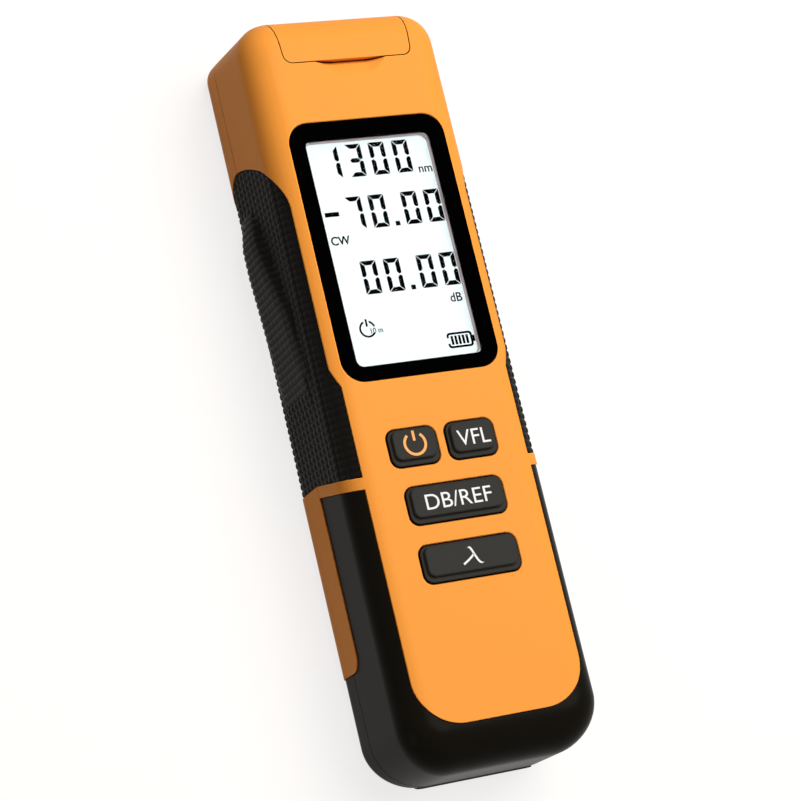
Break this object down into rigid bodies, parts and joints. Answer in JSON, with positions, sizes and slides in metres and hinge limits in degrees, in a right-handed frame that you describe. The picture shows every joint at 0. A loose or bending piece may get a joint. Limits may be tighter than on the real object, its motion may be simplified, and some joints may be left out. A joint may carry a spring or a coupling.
{
  "type": "optical power meter",
  "caption": "Handheld fibre optic power meter with a visual fault laser: orange casing, black bumpers and ribbed side grips, display, rubber keys and a flip lid over the fibre ports.",
  "frame": {"origin": "bottom centre of the bounding box, on the flat back that the meter lies on", "axes": "+Y from the foot to the head with the flip lid, +Z out of the display, +X across to the right of the display"},
  "size_m": [0.0518, 0.1751, 0.0327],
  "materials": {
    "shell": "satin orange ABS",
    "rubber_black": "matt black soft overmould",
    "key_rubber": "matt dark grey silicone rubber",
    "lens_clear": "clear polished window",
    "black_plastic": "matt black moulding",
    "white_plastic": "matt white moulding",
    "lcd_glass": "pale display glass",
    "lcd_ink": "black display segments",
    "light_guide": "white light guide",
    "board_green": "green laminate",
    "chip_black": "black package",
    "steel": "plated steel",
    "screw_black": "black oxide steel",
    "nickel": "nickel-plated brass",
    "ceramic": "white ceramic",
    "detector_metal": "plated can",
    "cell_wrap": "plain alkaline cell, printed wrap"
  },
  "bodies": {
    "casing": {"front_shell": "shell", "rear_shell": "shell", "front_bumper": "rubber_black", "rear_bumper": "rubber_black", "right_grip": "rubber_black", "left_grip": "rubber_black", "lid_pin": "steel", "display_lens": "lens_clear", "lens_gasket": "black_plastic", "lcd_panel": "lcd_glass", "lcd_segments": "lcd_ink", "lcd_frame": "white_plastic", "backlight": "light_guide", "tact_switches": "chip_black", "main_board": "board_green", "controller_chip": "chip_black", "amplifier_chip": "chip_black", "board_screws": "steel", "port_plate": "black_plastic", "meter_port": "nickel", "laser_port": "nickel", "detector": "detector_metal", "laser_sleeve": "ceramic", "laser_module": "nickel", "port_nuts": "nickel", "battery_1": "cell_wrap", "battery_2": "cell_wrap", "battery_3": "cell_wrap", "contact_plates": "steel", "contact_springs": "steel", "case_screws": "screw_black"},
    "lid": {"port_lid": "shell"},
    "cover": {"battery_cover": "black_plastic"},
    "power_button": {"power_key": "key_rubber", "power_plunger": "black_plastic"},
    "fault_button": {"fault_key": "key_rubber", "fault_plunger": "black_plastic"},
    "reference_button": {"reference_key": "key_rubber", "reference_plunger": "black_plastic"},
    "wavelength_button": {"wavelength_key": "key_rubber", "wavelength_plunger": "black_plastic"}
  },
  "joints": [
    {"name": "lid_hinge", "type": "hinge", "parent": "casing", "child": "lid", "pos_m": [0, 0.0851, 0.0088], "axis": [-1, 0, 0], "range_deg": [0, 105]},
    {"name": "battery_cover_slide", "type": "slide", "parent": "casing", "child": "cover", "axis": [0, -1, 0], "range_m": [0, 0.006]},
    {"name": "power_press", "type": "slide", "parent": "casing", "child": "power_button", "axis": [0, 0, -1], "range_m": [0, 0.0008], "stiffness_N_per_m": 2000},
    {"name": "fault_press", "type": "slide", "parent": "casing", "child": "fault_button", "axis": [0, 0, -1], "range_m": [0, 0.0008], "stiffness_N_per_m": 2000},
    {"name": "reference_press", "type": "slide", "parent": "casing", "child": "reference_button", "axis": [0, 0, -1], "range_m": [0, 0.0008], "stiffness_N_per_m": 2000},
    {"name": "wavelength_press", "type": "slide", "parent": "casing", "child": "wavelength_button", "axis": [0, 0, -1], "range_m": [0, 0.0008], "stiffness_N_per_m": 2000}
  ]
}
